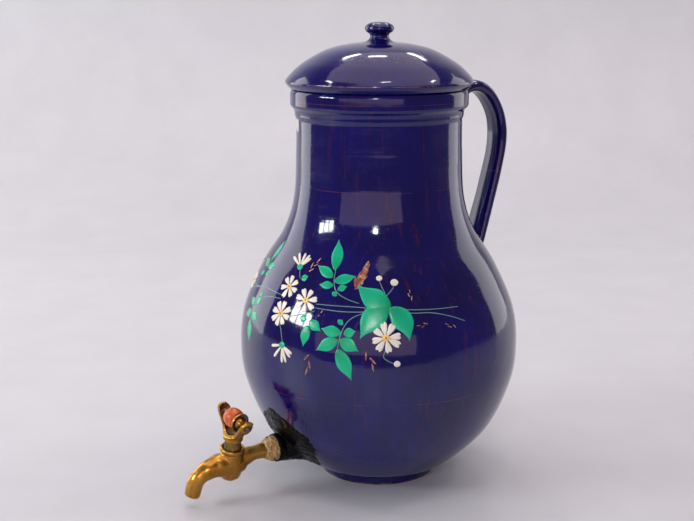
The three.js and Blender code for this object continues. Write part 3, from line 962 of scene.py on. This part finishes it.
def flowers():
    """The bouquet: petals, hearts with a dot in each, leaves and stems."""
    petals, hearts, middles, leaves = [], [], [], []
    for angle, height, length, count, first in DAISIES:
        for k in range(count):
            heading = first + 360 * k / count + rng.uniform(-5, 5)
            reach = length * rng.uniform(0.90, 1.04)
            turn = math.radians(heading)
            root = beside(angle, height, HEART_GAP * math.cos(turn), HEART_GAP * math.sin(turn))
            for lobe in (-8, 8):
                long = (reach - HEART_GAP) * rng.uniform(0.93, 1.0)
                petals.append(blade(*root, heading + lobe, long, length * 0.28, 0.6, 0.74))
        hearts.append(dot(angle, height, length * 0.25, 1.2))
        middles.append(dot(angle, height, length * 0.07, 1.9))
    for angle, height, length, headings in SIDE_DAISIES:
        for heading in headings:
            long = length * rng.uniform(0.78, 1.0)
            petals.append(blade(angle, height, heading, long, length * 0.19, 0.8, 0.8))
        leaves.append(dot(angle, height, 3.9, 1.2))
    for angle, height, radius in BUDS:
        petals.append(dot(angle, height, radius, 1.2))
    for root, tip, width, bow in BIG_LEAVES:
        leaves.append(leaf(root, tip, width, bow, 0.42))
        far_root = (2 * MIRROR - root[0], root[1])
        far_tip = (2 * MIRROR - tip[0], tip[1])
        leaves.append(leaf(far_root, far_tip, width, -bow, 0.42))
    for root, tip, width in SPRIG_LEAVES:
        leaves.append(leaf(root, tip, width, rng.uniform(-0.6, 0.6)))
    stems = [fine_line(places) for places in STEMS]

    # The petals' greyer edge colour is painted shade along their edges.
    white = enamel("white_enamel", (0.96, 0.96, 0.93), (0.86, 0.86, 0.87), (0.90, 0.85, 0.70))
    # The leaves' paler edge colour is a painted highlight on their rims.
    green = enamel("green_enamel", (0.003, 0.48, 0.225), (0.010, 0.60, 0.32), (0.002, 0.35, 0.15))
    pale = enamel("pale_green_enamel", (0.15, 0.32, 0.30), (0.07, 0.20, 0.19), (0.15, 0.32, 0.30))
    yellow = enamel("yellow_enamel", (0.92, 0.62, 0.16), (0.90, 0.70, 0.30), (0.92, 0.60, 0.15))
    brown = enamel("brown_enamel", (0.42, 0.12, 0.02), (0.55, 0.22, 0.04), (0.42, 0.12, 0.02))
    strokes("petals", petals, white)
    strokes("flower_hearts", hearts, yellow)
    strokes("heart_dots", middles, brown)
    strokes("leaves", leaves, green)
    strokes("stems", stems, pale)


def gilding():
    """Fine ears and tufts of copper-coloured gilding about the bouquet."""
    touches = []
    for (angle, height), heading, length, width, count in GILT_SPRIGS:
        turn = math.radians(heading)
        for k in range(count):
            share = 0.8 * k / count
            along = length * share
            spot = beside(angle, height, along * math.cos(turn), along * math.sin(turn))
            fan = heading + (26 if k % 2 else -26) * (1 - share) + rng.uniform(-8, 8)
            reach = length * (0.34 + 0.5 / count) * rng.uniform(0.8, 1.1)
            bow = rng.uniform(-0.6, 0.6)
            touches.append(blade(*spot, fan, reach, width, 0.3, 0.55, bow, sharp=True, steps=9))
    strokes("gilt_sprigs", touches, copper_gilt())


def paper_scrap():
    """The torn remnant of a blank paper label on the neck."""
    half_w, half_h = 7, 7.2
    rings = []
    for lift in (0.05, 0.3):
        edge = []
        for k in range(40):
            turn = 2 * math.pi * k / 40
            u = half_w * math.copysign(abs(math.cos(turn)) ** 0.4, math.cos(turn))
            v = half_h * math.copysign(abs(math.sin(turn)) ** 0.4, math.sin(turn))
            tear = 1 + 0.09 * noise.noise(Vector((k * 0.9, 0, 4)))
            edge.append(on_pot(*beside(*LABEL_PLACE, u * tear, v * tear), lift))
        rings.append(edge)
    obj = build("paper_scrap", loops(rings))
    finished(obj, "jug", "hemp_twine", old_paper())


# ---- the scene -------------------------------------------------------------------------------

def camera():
    """The camera, a little above the knob and 55 degrees round from the tap."""
    view = bpy.data.objects.new("camera", bpy.data.cameras.new("camera"))
    bpy.context.scene.collection.objects.link(view)
    view.location = CAMERA_PLACE
    tilt = (90 - CAMERA_DIP, CAMERA_ROLL, CAMERA_TURN)
    view.rotation_euler = [math.radians(angle) for angle in tilt]
    view.data.lens = 62.5
    view.data.sensor_width = 36
    bpy.context.scene.view_settings.view_transform = "Standard"
    bpy.context.scene.camera = view


CEILING_TUBES = [(165, 52), (147, 60), (124, 46), (-125, 53), (-20, 70), (62, 51)]  # azimuth, elevation


def lamp(name, azimuth, elevation, distance, size, watts, colour):
    """An area light aimed at the middle of the jug from so many metres away."""
    data = bpy.data.lights.new(name, "AREA")
    data.shape = "RECTANGLE"
    data.size, data.size_y = size
    data.energy = watts
    data.color = colour
    obj = bpy.data.objects.new(name, data)
    bpy.context.scene.collection.objects.link(obj)
    around, up = math.radians(azimuth), math.radians(elevation)
    out = Vector((math.cos(around) * math.cos(up), math.sin(around) * math.cos(up), math.sin(up)))
    obj.location = Vector((0, 0, 0.33)) + out * distance
    obj.rotation_euler = out.to_track_quat("Z", "Y").to_euler()


def studio():
    """A pale floor that curves up into a backdrop, a pale surround and soft lights."""
    surface = Surface("pale_floor")
    mottle = surface.noise(9, 5, 0.6)
    tone = surface.ramp(mottle, (0.3, (0.62, 0.635, 0.65)), (0.7, (0.66, 0.675, 0.69)))
    surface.finish(Base_Color=tone, Roughness=0.42, Normal=surface.bump(surface.noise(300, 3), 0.06, 0.3))
    turn = math.radians(CAMERA_TURN)
    away = Vector((-math.sin(turn), math.cos(turn), 0))
    side = Vector((away.y, -away.x, 0))
    bend_from, bend_r = 1.3, 0.6
    profile = [(-1.0, 0), (bend_from, 0)]
    for k in range(1, 9):
        rise = k * math.pi / 16
        profile.append((bend_from + bend_r * math.sin(rise), bend_r - bend_r * math.cos(rise)))
    profile.append((bend_from + bend_r, 5))
    verts = [away * d + side * w + Vector((0, 0, z)) for d, z in profile for w in (-6, 6)]
    faces = [(2 * i, 2 * i + 1, 2 * i + 3, 2 * i + 2) for i in range(len(profile) - 1)]
    floor = build("floor", ([v / MM for v in verts], faces))
    floor.data.materials.append(surface.material)

    world = bpy.data.worlds.new("studio")
    bpy.context.scene.world = world
    world.use_nodes = True
    around = world.node_tree.nodes["Background"]
    around.inputs["Color"].default_value = (0.85, 0.66, 0.80, 1)
    around.inputs["Strength"].default_value = 0.20

    warm = (1.0, 0.86, 0.88)
    rosy = (1.0, 0.74, 0.84)
    day = (0.90, 0.96, 1.0)
    white = (1.0, 0.99, 0.97)
    lamp("overhead", 100, 84, 2.4, (3.2, 3.2), 36, warm)
    for k in range(3):
        lamp(f"window_pane_{k}", -112 + 7.5 * k, 17, 3.0, (0.30, 0.40), 11, day)
    lamp("room", -45, 9, 3.2, (5.5, 1.3), 20, rosy)
    lamp("side_pane", -39, 24, 3.0, (0.26, 0.26), 11, day)
    lamp("left_card", 206, 8, 2.2, (1.1, 2.4), 19, white)
    lamp("right_card", 88, 8, 2.2, (1.1, 2.4), 13, white)
    for k, (azimuth, elevation) in enumerate(CEILING_TUBES):
        lamp(f"tube_{k}", azimuth, elevation, 2.3, (0.34, 0.10), 2.4, white)


camera()
studio()
pot_glaze = pot()
handle(pot_glaze)
lid()
flowers()
gilding()
paper_scrap()
pitch_seal(black_pitch())
hemp_packing(hemp_twine())

worn_brass = aged_brass("worn_brass", verdigris=0.12)
green_brass = aged_brass("green_brass", verdigris=0.95, brown=0.7, crust_colour=(0.075, 0.070, 0.025))
steel = dull_steel()
tap_body(worn_brass)
tap_plug(green_brass)
key_yoke(
    aged_brass("yoke_brass", verdigris=0.4, brown=0.35),
    aged_brass("patina_brass", verdigris=0.9, brown=0.2, crust_colour=(0.30, 0.28, 0.19)),
)
crossbar(worn_brass, steel, coral_paint("coral_paint", 0.0))
for node, material in (("plug_washer", worn_brass), ("plug_screw", steel)):
    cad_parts[node].data.materials.clear()
    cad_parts[node].data.materials.append(material)
